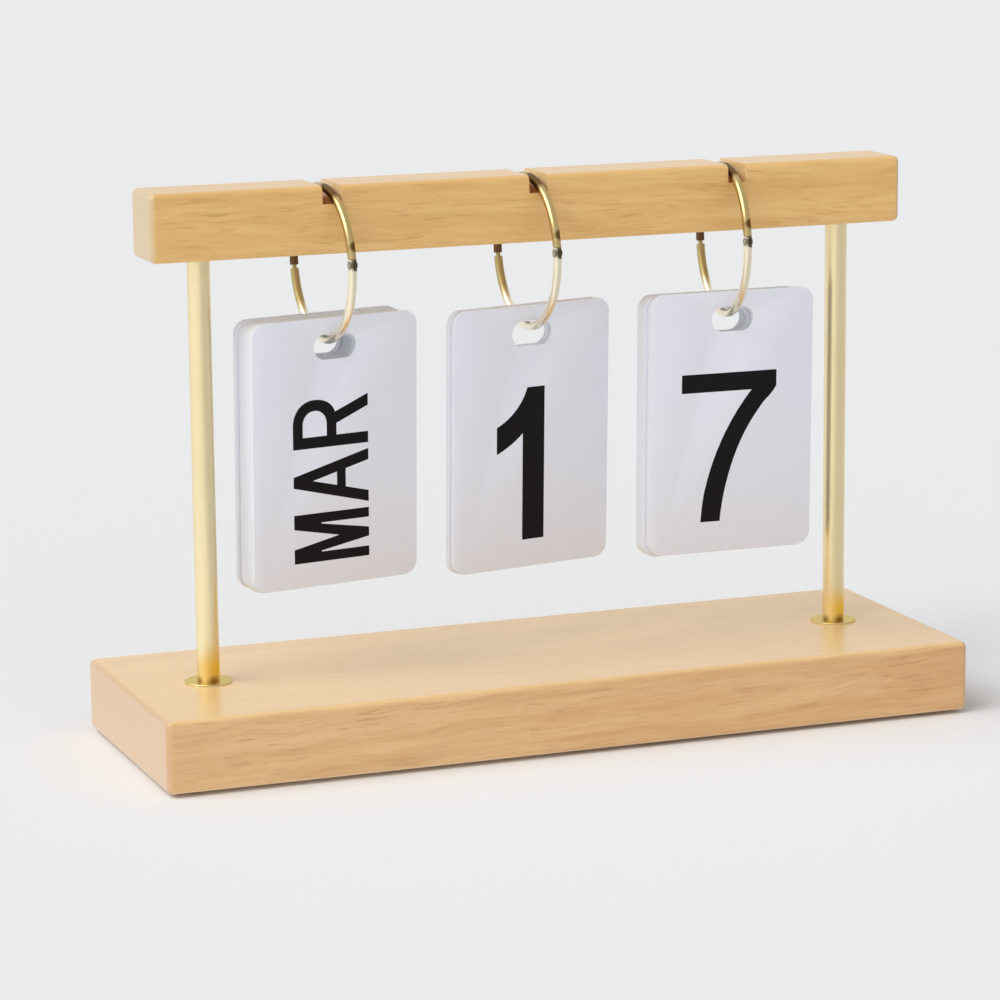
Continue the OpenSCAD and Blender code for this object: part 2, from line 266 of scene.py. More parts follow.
@dataclass(frozen=True)
class OiledWood(Finish):
    """Pale straight-grained hardwood under a satin oil, with its grain along X."""

    light: Colour
    deep: Colour
    fleck: Colour
    # End grain tone, also painted paler to stand in for the light on the ends
    lit_end_grain: Colour
    # Painted sheen and top light, mixed over the faces that point up or down
    painted_sheen: Colour
    # Colour of the painted shade in the kerfs and under the board
    painted_shade: Colour
    # Colour of the painted light on the kerf walls that face the key light
    painted_light: Colour
    half_length: float
    pith: Point
    grain_turn: Triple
    seed: float
    growth_rings_per_mm: float = 0.13
    growth_waver: float = 16.0
    sway_mm: Point = (5.0, 7.0)
    end_band: Point = (1.8, 0.4)
    fibre_relief: float = 0.014
    oil_coat: float = 0.35

    def fill(self, tree: ShaderTree) -> None:
        """Fills the tree with grain, flecks and end grain, and with painted sheen, painted shade
        and painted light.

        Args:
            tree: The material's tree.
        """
        here = tree.place(self.grain_turn)
        across = tree.add("ShaderNodeSeparateXYZ", {}, [here], "Y")
        spot = here + (self.seed, self.seed * 0.7, self.seed * 1.3)
        sway = tree.noise(spot * (0.022, 0.03, 0.03)) - 0.5
        spot = spot + tree.add("ShaderNodeCombineXYZ", {},
                               {"Y": sway * self.sway_mm[0], "Z": sway * self.sway_mm[1]}, "Vector")

        # Growth rings about a pith that lies outside the board, wavering along the grain
        waver = tree.noise(spot * (0.008, 0.05, 0.05), 3, 0.55) - 0.5
        dy, dz = across - self.pith[0], across.other("Z") - self.pith[1]
        radius = (dy * dy + dz * dz) ** 0.5 + waver * self.growth_waver
        year = tree.add("ShaderNodeMath", {"operation": "FRACT"},
                        [radius * self.growth_rings_per_mm], "Value")
        late_wood = year.ramp(0.25, 0.95) * (1 - year.ramp(0.95, 1.0))

        # Long soft streaks, fine fibres and short dark flecks, all drawn out along the grain
        streak = tree.noise(spot * (0.016, 0.22, 0.22), 4, 0.60, 0.6)
        wisp = tree.noise(spot * (0.045, 0.62, 0.62), 3, 0.55, 0.8)
        fibre = tree.noise(spot * (0.05, 2.0, 2.0), 3, 0.6)
        fleck_field = tree.noise(spot * (0.09, 1.3, 1.3), 2, 0.5, 0.3)
        patch = tree.noise(spot * (0.03, 0.10, 0.10))
        flecks = fleck_field.ramp(0.54, 0.74) * patch.ramp(0.36, 0.60)
        blush = tree.noise(spot * (0.006, 0.03, 0.03)).ramp(0.35, 0.7)

        # The faces that point up or down are plainer than the sides, and paler: a painted sheen and
        # top light
        upward = tree.add("ShaderNodeNewGeometry", {}, {}, "Normal").dot((0, 0, 1))
        flat = (upward * upward).ramp(0.10, 0.85)
        tone = (streak.ramp(0.30, 0.70) * 0.48 + late_wood * 0.16 + fibre.ramp(0.3, 0.7) * 0.10
                + wisp.ramp(0.40, 0.70) * 0.26) * (1 - flat * 0.12)
        ruddy = tuple(c * f for c, f in zip(self.deep, (1.12, 0.90, 0.84)))
        colour = tree.mix(tone, self.light, self.deep)
        colour = tree.mix(flecks * 0.40 * (1 - flat * 0.4), colour, self.fleck)
        colour = tree.mix(blush * 0.16, colour, ruddy)
        colour = tree.mix(flat * 0.55, colour, self.painted_sheen)

        # End grain at the board's two ends, painted shade in the kerfs and under the board, and
        # painted light on the kerf walls that face the key light
        along = tree.add("ShaderNodeSeparateXYZ", {}, [tree.place()], "X")
        pores = tree.noise(here * (0.3, 0.9, 1.6), 3, 0.6)
        # End grain, its tone also painted paler for the strong light on the ends
        lit_end_tone = tree.mix(pores * 0.35, self.lit_end_grain, tuple(c * 0.93 for c in self.lit_end_grain))
        end = ((along * along) ** 0.5).ramp(*(self.half_length - d for d in self.end_band))
        shade_mask = tree.mark("painted_shade")
        colour = tree.mix(end, colour, lit_end_tone)
        # Painted shade in the kerfs and under the board
        colour = tree.mix(shade_mask, colour, self.painted_shade)
        # Painted light on the kerf walls that face the key light
        colour = tree.mix(tree.mark("painted_light"), colour, self.painted_light)
        # Painted shade also takes off the oil's coat and roughens the wood
        tree.principled({
            "Base Color": colour, "Roughness": fibre * 0.08 + flecks * 0.14 + shade_mask * 0.5 + 0.27,
            "IOR": 1.5, "Coat Weight": (1 - shade_mask) * self.oil_coat, "Coat Roughness": 0.28,
            "Normal": tree.bump(fibre * 0.35 - flecks * 0.35, self.fibre_relief)})


@dataclass(frozen=True)
class PolishedBrass(Finish):
    """Bright brass, with painted shade and painted reflections near given points."""

    bright: Colour
    dull: Colour
    painted_spots: tuple[PaintedSpot, ...] = ()
    rough: float = 0.12
    soft: float = 0.6
    tint: Colour = (1.0, 1.0, 1.0)

    def fill(self, tree: ShaderTree) -> None:
        """Fills the tree with smudges, hairlines and the painted shade and reflections near the
        given points.

        Args:
            tree: The material's tree.
        """
        here = tree.place()
        smudge = tree.noise(here, 3, 0.6, scale=0.09)
        hairline = tree.noise(here * (2.4, 2.4, 0.25), 2, 0.6)
        colour = tree.mix(smudge.ramp(0.35, 0.75) * 0.30, self.bright, self.dull)
        rough = smudge * 0.08 + hairline * 0.05 + self.rough
        # Each spot paints shade or a reflected tone over the brass, and roughens it
        for centre, reach, spot_tone in self.painted_spots:
            far = tree.add("ShaderNodeVectorMath", {"operation": "DISTANCE"},
                           [here, tuple(centre / MM)], "Value")
            near = 1 - far.ramp(reach * self.soft, reach)
            colour = tree.mix(near * 0.92, colour, spot_tone)
            rough = rough + near * 0.22
        tree.principled({"Base Color": colour, "Metallic": 1.0, "Roughness": rough,
                         "Specular Tint": self.tint, "Normal": tree.bump(hairline, 0.002)})


@dataclass(frozen=True)
class SmoothCard(Finish):
    """Stiff smooth card with a faint tooth, its cut edges a little whiter and cooler, partly
    painted light for the light on the packs' sides.
    """

    face: Colour
    edge: Colour

    def fill(self, tree: ShaderTree) -> None:
        """Fills the tree with a fine tooth and a faint cloud.

        Args:
            tree: The material's tree.
        """
        here = tree.place()
        tooth = tree.noise(here, 3, 0.6, scale=4.5)
        cloud = tree.noise(here, scale=0.035)
        colour = tree.mix(cloud * 0.5, self.face, tuple(c * 0.97 for c in self.face))
        # The cut edges are whiter and cooler, partly painted light for the bright cool light on the
        # packs' sides
        colour = tree.mix(tree.mark("cut_edge"), colour, self.edge)
        tree.principled({"Base Color": colour, "Roughness": tooth * 0.10 + 0.46, "IOR": 1.46,
                         "Normal": tree.bump(tooth, 0.003)})


@dataclass(frozen=True)
class PrintedInk(Finish):
    """Near-black ink with a slight sheen of its own."""

    colour: Colour

    def fill(self, tree: ShaderTree) -> None:
        """Fills the tree with a fine uneven grain.

        Args:
            tree: The material's tree.
        """
        grain = tree.noise(tree.place(), 3, 0.6, scale=2.2)
        thin = tuple(c * 1.9 for c in self.colour)
        colour = tree.mix(grain.ramp(0.35, 0.75) * 0.35, self.colour, thin)
        tree.principled({"Base Color": colour, "Roughness": grain * 0.12 + 0.50,
                         "Specular IOR Level": 0.12, "Normal": tree.bump(grain, 0.002)})


@dataclass(frozen=True)
class PressedFelt(Finish):
    """Dark wool felt with short matted fibres."""

    dark: Colour
    light: Colour

    def fill(self, tree: ShaderTree) -> None:
        """Fills the tree with matted and stray fibres.

        Args:
            tree: The material's tree.
        """
        here = tree.place()
        mat = tree.noise(here, 5, 0.7, 1.2, 3.2)
        strands = tree.noise(here * (1.0, 5.0, 2.0), 3, 0.6, 2.0)
        colour = tree.mix((mat * 0.6 + strands * 0.4).ramp(0.3, 0.7), self.dark, self.light)
        tree.principled({"Base Color": colour, "Roughness": mat * 0.1 + 0.88, "Sheen Weight": 0.35,
                         "Sheen Roughness": 0.5, "Normal": tree.bump(mat + strands * 0.5, 0.12)})


@dataclass(frozen=True)
class ZincSteel(Finish):
    """Zinc-plated steel with turned rings on the heads."""

    bright: Colour
    grey: Colour

    def fill(self, tree: ShaderTree) -> None:
        """Fills the tree with the spangle of the zinc and the turning marks.

        Args:
            tree: The material's tree.
        """
        here = tree.place()
        spangle = tree.noise(here, 3, 0.6, scale=1.4)
        turned = tree.noise(here * (0.6, 0.6, 9.0), 2, 0.6)
        colour = tree.mix(spangle.ramp(0.3, 0.7) * 0.6, self.bright, self.grey)
        tree.principled({"Base Color": colour, "Metallic": 1.0, "Roughness": turned * 0.16 + 0.26,
                         "Normal": tree.bump(turned, 0.01)})


# ---- modelling by operators ----


def deselect() -> None:
    """Leaves edit mode and deselects every object."""
    if bpy.context.mode != "OBJECT":
        bpy.ops.object.mode_set(mode="OBJECT")
    bpy.ops.object.select_all(action="DESELECT")


def activate(thing: bpy.types.Object) -> None:
    """Selects one object alone and makes it the active one.

    Args:
        thing: The object.
    """
    deselect()
    thing.select_set(True)
    bpy.context.view_layer.objects.active = thing


def settle(thing: bpy.types.Object) -> None:
    """Applies an object's place, turn and scale, so that they are all in its mesh."""
    activate(thing)
    bpy.ops.object.transform_apply(location=True, rotation=True, scale=True)


@contextmanager
def editing(thing: bpy.types.Object) -> Iterator[None]:
    """Holds an object in edit mode with all of it selected.

    Args:
        thing: The object.

    Yields:
        Nothing, while edit mode lasts.
    """
    activate(thing)
    bpy.ops.object.mode_set(mode="EDIT")
    bpy.ops.mesh.select_all(action="SELECT")
    yield
    bpy.ops.object.mode_set(mode="OBJECT")


def put(name: str, data: bpy.types.ID) -> bpy.types.Object:
    """Adds an object to the scene.

    Args:
        name: The new object's name.
        data: Its mesh, curve, light or camera.

    Returns:
        The object.
    """
    made = bpy.data.objects.new(name, data)
    bpy.context.collection.objects.link(made)
    return made


def add_cube(name: str, low: Sequence[float], high: Sequence[float]) -> bpy.types.Object:
    """Adds a cube that fills the space between two corners.

    Args:
        name: The new object's name.
        low: Lowest corner.
        high: Highest corner.

    Returns:
        The cube, with its place in its mesh.
    """
    deselect()
    middle = [(a + b) / 2 for a, b in zip(low, high)]
    bpy.ops.mesh.primitive_cube_add(size=1, location=middle)
    cube = bpy.context.object
    cube.scale = [b - a for a, b in zip(low, high)]
    cube.name = cube.data.name = name
    settle(cube)
    return cube


def add_cylinder(name: str, foot: Sequence[float], radius: float, height: float,
                 sides: int = 64) -> bpy.types.Object:
    """Adds an upright cylinder.

    Args:
        name: The new object's name.
        foot: Middle of its lower end.
        radius: Radius.
        height: Height.
        sides: Sides round it.

    Returns:
        The cylinder, with its place in its mesh.
    """
    deselect()
    bpy.ops.mesh.primitive_cylinder_add(vertices=sides, radius=radius, depth=height,
                                        location=(foot[0], foot[1], foot[2] + height / 2))
    made = bpy.context.object
    made.name = made.data.name = name
    settle(made)
    return made


def add_modifier(thing: bpy.types.Object, kind: str, **settings: Any) -> None:
    """Adds a modifier and applies it at once.

    Args:
        thing: The object.
        kind: The modifier's type.
        settings: What is set on it.
    """
    activate(thing)
    modifier = thing.modifiers.new(kind.title(), kind)
    for name, value in settings.items():
        setattr(modifier, name, value)
    bpy.ops.object.modifier_apply(modifier=modifier.name)


def cut_away(body: bpy.types.Object, cutters: Iterable[bpy.types.Object]) -> None:
    """Takes each cutter's shape out of a body and deletes the cutter.

    Args:
        body: What is cut.
        cutters: What cuts, in this order.
    """
    for cutter in cutters:
        add_modifier(body, "BOOLEAN", operation="DIFFERENCE", solver="EXACT", object=cutter)
        bpy.data.objects.remove(cutter, do_unlink=True)


def close_up(thing: bpy.types.Object, gap: float) -> None:
    """Merges points that lie within a gap of each other and turns the faces outwards.

    Args:
        thing: The object.
        gap: The gap, in the mesh's own unit.
    """
    with editing(thing):
        bpy.ops.mesh.remove_doubles(threshold=gap)
        bpy.ops.mesh.normals_make_consistent(inside=False)


def finish_mesh(thing: bpy.types.Object, angle: float) -> None:
    """Closes a mesh up, scales it to metres and smooths its gentle angles.

    Args:
        thing: The object, in millimetres.
        angle: Sharpest angle in degrees that is shaded smooth.
    """
    close_up(thing, WELD_MM)
    thing.scale = (MM, MM, MM)
    settle(thing)
    bpy.ops.object.shade_smooth_by_angle(angle=math.radians(angle))


def dress(thing: bpy.types.Object, material: bpy.types.Material) -> None:
    """Gives an object one material, in every slot that it has.

    Args:
        thing: The object.
        material: The material.
    """
    if not thing.material_slots:
        thing.data.materials.append(material)
    for slot in thing.material_slots:
        slot.material = material


# ---- the stand ----


@dataclass
class Stand:
    """Base board, top bar, rods, flanges, screws and pads."""

    edge_r: float = 1.8
    edge_segments: int = 6
    kerf_edge_r: float = 0.22
    kerf_width: float = 5.5
    kerf_depth: float = 5.1
    pack_step: float = 60.7
    rod_hole_r: float = 3.225
    base_socket_depth: float = 8.0
    bar_socket_depth: float = 10.0
    screw_hole_r: float = 1.7
    screw_hole_sides: int = 32
    counterbore_r: float = 4.0
    counterbore_depth: float = 4.0
    rod_x: float = 96.475
    over: float = 1.0
    smooth_below: float = 40.0
    normal_weight: int = 80
    facing: float = 0.9
    level_slack: float = 0.05
    wall_slack: float = 0.02
    same_place: float = 1e-3
    # How strongly shade is painted under the base and on the kerfs' floors and left walls
    underside_shade: float = 0.45
    kerf_floor_shade: float = 0.92
    kerf_wall_shade: float = 0.80
    # Colours: light, deep, fleck, end grain (also painted paler for the light on the ends), painted
    # sheen, painted shade, painted light
    base_finish: OiledWood = OiledWood(
        "base_wood_oiled", srgb(241, 201, 144), srgb(215, 164, 106), srgb(176, 116, 62),
        srgb(214, 176, 131), srgb(255, 219, 158), srgb(118, 62, 16), srgb(255, 222, 164), 120.275,
        (-34.0, -70.0), (0, 1.6, 1.2), 11.0)
    bar_finish: OiledWood = OiledWood(
        "bar_wood_oiled", srgb(245, 203, 131), srgb(224, 171, 96), srgb(186, 124, 60),
        srgb(216, 190, 146), srgb(239, 197, 127), srgb(190, 112, 20), srgb(255, 216, 152), 112.375,
        (40.0, 210.0), (0, -1.0, 0.8), 57.0)
    brass_finish: PolishedBrass = PolishedBrass(
        "rod_brass", (0.91, 0.78, 0.48), (0.85, 0.69, 0.38), rough=0.24, soft=0.05)
    flange_finish: PolishedBrass = PolishedBrass(
        "flange_brass", (0.76, 0.62, 0.33), (0.56, 0.45, 0.22), rough=0.26, tint=(0.94, 0.84, 0.50))
    felt_finish: PressedFelt = PressedFelt("pad_felt", srgb(44, 42, 40), srgb(86, 83, 80))
    steel_finish: ZincSteel = ZincSteel("screw_zinc", (0.72, 0.72, 0.73), (0.50, 0.50, 0.52))
    # Painted tones at a rod's foot, one a painted reflection of the wood and two painted shade: how
    # far right, back and up of the flange's middle, reach, colour
    foot_shade_and_reflection: tuple[tuple[float, float, float, float, Colour], ...] = (
        (2.2, -3.0, 3.4, 8.4, srgb(250, 208, 64)), (0.7, -3.2, -0.2, 2.9, srgb(156, 98, 6)),
        (-3.1, -1.3, 0.2, 2.2, srgb(150, 118, 58)))

    @property
    def rod_xs(self) -> tuple[float, ...]:
        """Middles of the two rods along X."""
        return -self.rod_x, self.rod_x

    @property
    def kerf_xs(self) -> tuple[float, ...]:
        """Middles of the three kerfs along X."""
        return -self.pack_step, 0, self.pack_step

    def build(self) -> None:
        """Models the two boards and dresses the frame's own parts of the stand."""
        for name, make in (("base_board", self.base_board), ("top_bar", self.top_bar)):
            board = make(name)
            finish_mesh(board, self.smooth_below)
            self.mark_shade_and_light(board.data, name)
            add_modifier(board, "WEIGHTED_NORMAL", keep_sharp=True, weight=self.normal_weight)
            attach(board, "stand")
            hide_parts(name)
            dress(board, (self.base_finish if name == "base_board" else self.bar_finish).material())
            LOG.info("%s: %d faces", board.name, len(board.data.polygons))
        self.dress_fixings()

    def dress_fixings(self) -> None:
        """Dresses the rods, with painted shade and a painted reflection of the wood at their feet,
        and the flanges, pads and screws.
        """
        foot_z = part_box("rod_flange_left")[1].z
        feet = tuple((Vector(((x + right) * MM, back * MM, foot_z + up * MM)), reach, tone)
                     for x in self.rod_xs for right, back, up, reach, tone in self.foot_shade_and_reflection)
        felt = self.felt_finish.material()
        dressing = {"rod": replace(self.brass_finish, painted_spots=feet).material(),
                    "rod_flange": self.flange_finish.material(), "foot_pad_front": felt,
                    "foot_pad_back": felt, "base_screw": self.steel_finish.material()}
        for name, node in frame["nodes"].items():
            kind = name.rpartition("_")[0]
            if kind in dressing:
                dress(node, dressing[kind])
                LOG.info("%s: dressed", name)

    def mark_shade_and_light(self, mesh: bpy.types.Mesh, name: str) -> None:
        """Marks the faces that get painted shade or painted light, in face attributes.

        Args:
            mesh: The board's mesh, in metres.
            name: The frame node that it replaces.
        """
        for mark in ("painted_shade", "painted_light"):
            mesh.attributes.new(mark, "FLOAT", "FACE")
        painted_shade, lit_wall_layer = mesh.attributes["painted_shade"], mesh.attributes["painted_light"]
        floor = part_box("top_bar")[1].z / MM - self.kerf_depth
        for polygon in mesh.polygons:
            spot, normal = polygon.center / MM, polygon.normal
            off = min(abs(spot.x - x) for x in self.kerf_xs)
            inside = (name == "top_bar" and spot.z > floor - self.level_slack
                      and off < self.kerf_width / 2 + self.wall_slack)
            # Painted shade under the base and on the kerfs' floors and left walls
            if name == "base_board" and normal.z < -self.facing:
                painted_shade.data[polygon.index].value = self.underside_shade
            elif inside and normal.z > self.facing and spot.z < floor + self.level_slack:
                painted_shade.data[polygon.index].value = self.kerf_floor_shade
            elif inside and normal.x > self.facing:
                painted_shade.data[polygon.index].value = self.kerf_wall_shade
            # Painted light on the kerf walls that face the key light
            elif inside and normal.x < -self.facing:
                lit_wall_layer.data[polygon.index].value = 1.0

    def rounded_board(self, name: str) -> bpy.types.Object:
        """Models a board with all its edges rounded.

        Args:
            name: The frame node whose space it fills.

        Returns:
            The board, in millimetres.
        """
        low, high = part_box(name)
        board = add_cube(name + "_oiled", low / MM, high / MM)
        with editing(board):
            bpy.ops.mesh.bevel(offset=self.edge_r, segments=self.edge_segments, profile=0.5,
                               affect="EDGES")
        return board

    def base_board(self, name: str) -> bpy.types.Object:
        """Models the base board with its sockets, screw holes and counterbores.

        Args:
            name: The frame node that it replaces.

        Returns:
            The board, in millimetres.
        """
        low, high = (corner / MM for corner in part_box(name))
        board = self.rounded_board(name)
        under, floor = low.z - self.over, high.z - self.base_socket_depth
        cutters = []
        for x in self.rod_xs:
            cutters += [
                add_cylinder("socket", (x, 0, floor), self.rod_hole_r,
                             self.base_socket_depth + self.over),
                add_cylinder("screw_hole", (x, 0, under), self.screw_hole_r,
                             floor - low.z + 2 * self.over, self.screw_hole_sides),
                add_cylinder("counterbore", (x, 0, under), self.counterbore_r,
                             self.counterbore_depth + self.over)]
        cut_away(board, cutters)
        return board

    def top_bar(self, name: str) -> bpy.types.Object:
        """Models the top bar with its blind sockets and its three kerfs with softened edges.

        Args:
            name: The frame node that it replaces.

        Returns:
            The bar, in millimetres.
        """
        low, high = (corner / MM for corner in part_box(name))
        board = self.rounded_board(name)
        floor, half = high.z - self.kerf_depth, self.kerf_width / 2
        sockets = [add_cylinder("socket", (x, 0, low.z - self.over), self.rod_hole_r,
                                self.bar_socket_depth + self.over) for x in self.rod_xs]
        kerfs = [add_cube("kerf", (x - half, low.y - self.over, floor),
                          (x + half, high.y + self.over, high.z + self.over))
                 for x in self.kerf_xs]
        cut_away(board, sockets + kerfs)
        self.soften_kerfs(board, floor)
        return board

    def soften_kerfs(self, board: bpy.types.Object, floor: float) -> None:
        """Rounds the rims of the kerfs' walls, but not the edges along their floors.

        Args:
            board: The bar, in millimetres.
            floor: Height of the kerfs' floors.
        """
        walls = [x + side * self.kerf_width / 2 for x in self.kerf_xs for side in (-1, 1)]
        with editing(board):
            bpy.ops.mesh.select_mode(type="EDGE")
            bpy.ops.mesh.select_all(action="DESELECT")
        for edge in board.data.edges:
            ends = [board.data.vertices[i].co for i in edge.vertices]
            on_wall = any(all(abs(p.x - w) < self.same_place for p in ends) for w in walls)
            on_floor = all(abs(p.z - floor) < self.same_place for p in ends)
            edge.select = on_wall and not on_floor
        bpy.ops.object.mode_set(mode="EDIT")
        bpy.ops.mesh.bevel(offset=self.kerf_edge_r, segments=2, profile=0.5, affect="EDGES",
                           clamp_overlap=True)
        bpy.ops.object.mode_set(mode="OBJECT")


# ---- the rings ----


@dataclass
class Rings:
    """The three hinged brass rings, with painted shade at the hinge, the snap closure and the
    crown, and painted reflections on both halves.
    """

    packs: tuple[str, ...] = ("month", "tens", "ones")
    hinge_reach: float = 2.4
    hinge_shift: float = 0.6
    # Where painted shade lies on the upper wire: above the hinge, and at its crown over the kerf
    wire_shade_at: Triple = (0.7, 0.7, 4.8)
    wire_shade_reach: float = 2.0
    crown: Point = (6.2, 20.3)
    crown_reach: float = 5.8
    closure_reach: float = 6.0
    dull_reflection_reach: float = 17.0
    lower_rough: float = 0.2
    # Painted shade and a dark reflection at the hinge
    hinge_shade: Colour = srgb(66, 63, 46)
    # Colour of that painted shade on the upper wire
    wire_shade: Colour = srgb(98, 64, 14)
    # Painted shade and a dark reflection at the snap closure
    closure_shade: Colour = srgb(92, 62, 44)
    # Painted dull reflection on the lower half near the closure
    dull_reflection: Colour = srgb(180, 162, 106)
    # Tones of the halves: the upper painted darker for its shaded, wood-tinted reflection, the
    # lower paler for the white floor it reflects
    upper_shaded_tones: tuple[Colour, Colour] = ((0.58, 0.45, 0.20), (0.44, 0.33, 0.13))
    lower_lit_tones: tuple[Colour, Colour] = ((0.94, 0.85, 0.66), (0.89, 0.78, 0.55))

    def build(self) -> None:
        """Dresses each ring's halves and rivet."""
        joints = {joint["name"]: joint for joint in frame["joints"]}
        for pack in self.packs:
            pin = Vector(joints[f"{pack}_ring_open"]["pos_m"])
            middle = Vector(joints[f"{pack}_ring_turn"]["pos_m"])
            low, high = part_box(f"{pack}_ring_upper")
            end = Vector((low.x if pack != "ones" else high.x, high.y, low.z))
            # Painted shade above the hinge and at the crown over the kerf
            above = pin + Vector(self.wire_shade_at) * MM
            crown = middle + Vector((0, -self.crown[0], self.crown[1])) * MM
            hinge = (pin + Vector((self.hinge_shift * MM, 0, 0)), self.hinge_reach,
                     self.hinge_shade)
            upper = PolishedBrass(f"{pack}_upper_brass", *self.upper_shaded_tones, (
                (crown, self.crown_reach, self.wire_shade), (above, self.wire_shade_reach, self.wire_shade),
                hinge, (end, self.closure_reach, self.closure_shade))).material()
            lower = PolishedBrass(f"{pack}_lower_brass", *self.lower_lit_tones, (
                (end, self.dull_reflection_reach, self.dull_reflection), hinge), self.lower_rough).material()
            for part, brass in (("upper", upper), ("lower", lower), ("rivet", lower)):
                dress(frame["nodes"][f"{pack}_ring_{part}"], brass)
            LOG.info("%s ring: dressed", pack)


# ---- the cards ----

# Outlines of the figures and of the capitals with their widths, in the letters that
# Lettering.contours reads
DIGITS = {
    "0": "M-13.4,31.6 Y12.9 v0,-.5 h13.4,12.9 Y31.6 v0,45 h-13.4,31.6 M-7.2,31.4 Y13.1 v0,4.9"
         " h7.2,13.1 Y31.4 v0,39.6 h-7.2,31.4",
    "1": "M-2.9,0 X4.2 Y44.5 X-1.5 c-2.6,41,-5.2,36.6,-11.4,33.6 Y25.8"
         " c-8.2,27.2,-5,29.2,-2.9,31.3",
    "2": "M-12.9,30.6 Y32 v0,45 h13,32.4 c13,23.5,2.5,16.5,-4.4,5.3 X12.9 Y0 X-12.9 Y4.4"
         " c-6,17,6.8,23.5,6.8,32 v0,39.7 h-6.8,32 Y30.6",
    "3": "M-12.4,32.4 Y32.9 v-.2,45 h12.4,33.6 c12.4,28.5,10.6,25.2,7.4,23.4"
         " c11.2,21.4,13.2,17.6,13.2,12.4 v0,-.5 h-13,12.2 L-6.8,12.4 v0,4.8 h7,12.6"
         " c7,17.8,4.6,20.6,0,20.6 X-3.2 Y25.9 X-.4 c4,25.9,6.2,28.8,6.2,33 v-.2,39.7 h-6.2,32.4",
    "4": "M3.2,0 X9.3 Y9.4 X13.8 Y14.7 X9.3 Y44.5 X3.4 L-13.6,14.9 Y9.4 X3.2 M-6.9,14.7 X3.2"
         " Y32.6",
    "5": "M-11.6,44.5 X11.8 Y39.2 X-5.8 L-6.3,27.6 c-4.4,29.2,-2,29.9,.8,29.9 h13.2,15.8 Y13.2"
         " v0,-.5 h-12.9,11.6 L-6.8,12 v0,4.8 h7,13.2 Y15.8 v.4,24.6 c-2.6,24.6,-5,23.6,-6.4,21.6"
         " X-12.4",
    "6": "M12.2,34.2 v.2,45 h-13.2,31 Y13 v0,-.5 h13.2,13.2 Y15.6 v.8,28.8"
         " c-2.4,28.8,-5,27.8,-7,25.6 Y31.2 v.2,39.7 h6.2,34.2 M-7,14.2 v0,4.8 h7,13.6 Y14.8"
         " v0,23.5 h-7,14.2",
    "7": "M-15.6,43.6 X14.1 Y38.9 c13.2,37.4,12.2,36.2,10.5,34.8 c4.4,27.6,.9,20.4,-1.6,10.4"
         " c-2.3,7.4,-3,4,-3.3,0 X-9.4 c-9.1,3.8,-8.8,6.6,-8.1,9.6 c-5.9,18.6,-1.8,28.6,6.3,38.2"
         " X-15.6",
    "8": "M0,45 h12.2,34 c12.2,28.8,10.4,25.4,7.6,23.5 c11.4,21.4,13.4,17.6,13.4,12.6 v0,-.5"
         " h-13.4,12.6 c-13.4,17.6,-11.4,21.4,-7.6,23.5 c-10.4,25.4,-12.2,28.8,-12.2,34 v0,45"
         " M0,39.8 h6.1,33 v0,26.2 h-6.1,33 v0,39.8 M0,20.8 h7.2,12.8 v0,4.8 h-7.2,12.8 v0,20.8",
}
